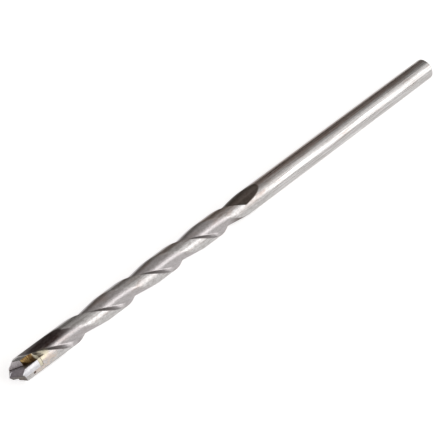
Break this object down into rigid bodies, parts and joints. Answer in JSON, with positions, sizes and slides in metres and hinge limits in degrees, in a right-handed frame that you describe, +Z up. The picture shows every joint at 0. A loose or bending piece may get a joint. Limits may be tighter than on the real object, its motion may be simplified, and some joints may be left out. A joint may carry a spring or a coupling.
{
  "type": "masonry drill bit",
  "caption": "Straight-shank masonry drill bit with two helical flutes and a carbide plate brazed across its pointed end.",
  "frame": {"origin": "centre of the bounding box at the floor, below the middle of the bit's length as it lies on its side", "axes": "+X runs along the bit's axis from the cutting point to the shank end, +Z is up"},
  "size_m": [0.15, 0.0062, 0.0061],
  "materials": {
    "steel": "satin ground steel with fine grain across the flutes",
    "carbide": "ground sintered carbide, satin",
    "braze": "dull heat-tinted brazing metal"
  },
  "bodies": {
    "root": {"drill_body": "steel", "carbide_tip": "carbide", "braze_filler": "braze"}
  },
  "joints": []
}
